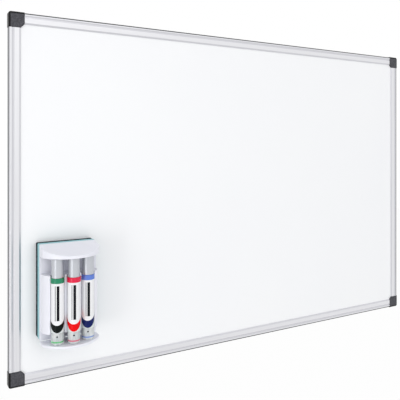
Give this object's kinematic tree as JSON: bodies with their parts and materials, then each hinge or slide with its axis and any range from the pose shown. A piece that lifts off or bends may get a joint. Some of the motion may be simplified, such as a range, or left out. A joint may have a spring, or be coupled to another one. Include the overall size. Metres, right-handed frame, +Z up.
{
  "type": "magnetic whiteboard",
  "caption": "Wall-hung magnetic whiteboard in a slim aluminium frame with grey corner caps, and a sliding magnetic pen holder with a wiping pad and capped pump markers.",
  "frame": {"origin": "middle of the board on the wall plane, at the centre of the wall screw pattern", "axes": "+X right along the board seen from the front, +Y into the wall, +Z up; the writing face looks along -Y"},
  "size_m": [0.9, 0.0824, 0.6],
  "materials": {
    "white_lacquered_steel": "gloss lacquer",
    "fibreboard": "pressed fibre",
    "galvanised_steel": "spangled zinc",
    "anodised_aluminium": "satin anodised",
    "grey_nylon": "moulded, matt",
    "grey_abs": "moulded, fine texture",
    "dark_felt": "needled felt",
    "teal_foam": "closed-cell foam",
    "ferrite_magnet": "sintered",
    "white_abs": "moulded, gloss",
    "zinc_plated_steel": "zinc plated",
    "printed_white_barrel": "printed, gloss",
    "green_gloss": "gloss",
    "red_gloss": "gloss",
    "blue_gloss": "gloss",
    "green_nib": "pressed fibre",
    "red_nib": "pressed fibre",
    "blue_nib": "pressed fibre",
    "green_ink": "liquid in a thin tube",
    "red_ink": "liquid in a thin tube",
    "blue_ink": "liquid in a thin tube",
    "clear_tail": "clear moulded plastic",
    "silicone_rubber": "translucent",
    "green_tint": "tinted",
    "red_tint": "tinted",
    "blue_tint": "tinted",
    "silver_grey_cap": "pearl grey"
  },
  "bodies": {
    "board": {"writing_sheet": "white_lacquered_steel", "core_board": "fibreboard", "backing_sheet": "galvanised_steel", "top_rail": "anodised_aluminium", "bottom_rail": "anodised_aluminium", "left_rail": "anodised_aluminium", "right_rail": "anodised_aluminium", "top_left_bracket": "grey_nylon", "top_right_bracket": "grey_nylon", "bottom_right_bracket": "grey_nylon", "bottom_left_bracket": "grey_nylon"},
    "holder": {"eraser_felt": "dark_felt", "eraser_foam": "teal_foam", "holder_magnets": "ferrite_magnet", "holder_back_plate": "white_abs", "pen_clip_block": "white_abs", "holder_top": "white_abs", "holder_base": "white_abs", "holder_screws": "zinc_plated_steel"},
    "top_left_cover": {"top_left_corner_cap": "grey_abs"},
    "top_right_cover": {"top_right_corner_cap": "grey_abs"},
    "bottom_right_cover": {"bottom_right_corner_cap": "grey_abs"},
    "bottom_left_cover": {"bottom_left_corner_cap": "grey_abs"},
    "green_pen": {"green_pen_barrel": "printed_white_barrel", "green_pen_collar": "green_gloss", "green_pen_nib": "green_nib", "green_ink_reservoir": "green_ink", "green_pen_tail": "clear_tail", "green_pump_bulb": "silicone_rubber"},
    "green_cap": {"green_pen_cap": "silver_grey_cap"},
    "green_pump": {"green_pump_button": "green_tint"},
    "red_pen": {"red_pen_barrel": "printed_white_barrel", "red_pen_collar": "red_gloss", "red_pen_nib": "red_nib", "red_ink_reservoir": "red_ink", "red_pen_tail": "clear_tail", "red_pump_bulb": "silicone_rubber"},
    "red_cap": {"red_pen_cap": "silver_grey_cap"},
    "red_pump": {"red_pump_button": "red_tint"},
    "blue_pen": {"blue_pen_barrel": "printed_white_barrel", "blue_pen_collar": "blue_gloss", "blue_pen_nib": "blue_nib", "blue_ink_reservoir": "blue_ink", "blue_pen_tail": "clear_tail", "blue_pump_bulb": "silicone_rubber"},
    "blue_cap": {"blue_pen_cap": "silver_grey_cap"},
    "blue_pump": {"blue_pump_button": "blue_tint"}
  },
  "joints": [
    {"name": "holder_slide", "type": "slide", "parent": "board", "child": "holder", "axis": [1, 0, 0], "range_m": [-0.023, 0.745]},
    {"name": "top_left_cap_pull", "type": "slide", "parent": "board", "child": "top_left_cover", "axis": [0, -1, 0], "range_m": [0, 0.025]},
    {"name": "top_right_cap_pull", "type": "slide", "parent": "board", "child": "top_right_cover", "axis": [0, -1, 0], "range_m": [0, 0.025]},
    {"name": "bottom_right_cap_pull", "type": "slide", "parent": "board", "child": "bottom_right_cover", "axis": [0, -1, 0], "range_m": [0, 0.025]},
    {"name": "bottom_left_cap_pull", "type": "slide", "parent": "board", "child": "bottom_left_cover", "axis": [0, -1, 0], "range_m": [0, 0.025]},
    {"name": "green_pen_pull", "type": "slide", "parent": "holder", "child": "green_pen", "axis": [0, -1, 0], "range_m": [0, 0.06]},
    {"name": "green_cap_lift", "type": "slide", "parent": "green_pen", "child": "green_cap", "axis": [0, 0, 1], "range_m": [0, 0.005]},
    {"name": "green_pump_press", "type": "slide", "parent": "green_pen", "child": "green_pump", "axis": [0, 0, 1], "range_m": [0, 0.003], "stiffness_N_per_m": 600, "deforming": ["green_pump_bulb"]},
    {"name": "red_pen_pull", "type": "slide", "parent": "holder", "child": "red_pen", "axis": [0, -1, 0], "range_m": [0, 0.06]},
    {"name": "red_cap_lift", "type": "slide", "parent": "red_pen", "child": "red_cap", "axis": [0, 0, 1], "range_m": [0, 0.005]},
    {"name": "red_pump_press", "type": "slide", "parent": "red_pen", "child": "red_pump", "axis": [0, 0, 1], "range_m": [0, 0.003], "stiffness_N_per_m": 600, "deforming": ["red_pump_bulb"]},
    {"name": "blue_pen_pull", "type": "slide", "parent": "holder", "child": "blue_pen", "axis": [0, -1, 0], "range_m": [0, 0.06]},
    {"name": "blue_cap_lift", "type": "slide", "parent": "blue_pen", "child": "blue_cap", "axis": [0, 0, 1], "range_m": [0, 0.005]},
    {"name": "blue_pump_press", "type": "slide", "parent": "blue_pen", "child": "blue_pump", "axis": [0, 0, 1], "range_m": [0, 0.003], "stiffness_N_per_m": 600, "deforming": ["blue_pump_bulb"]}
  ]
}
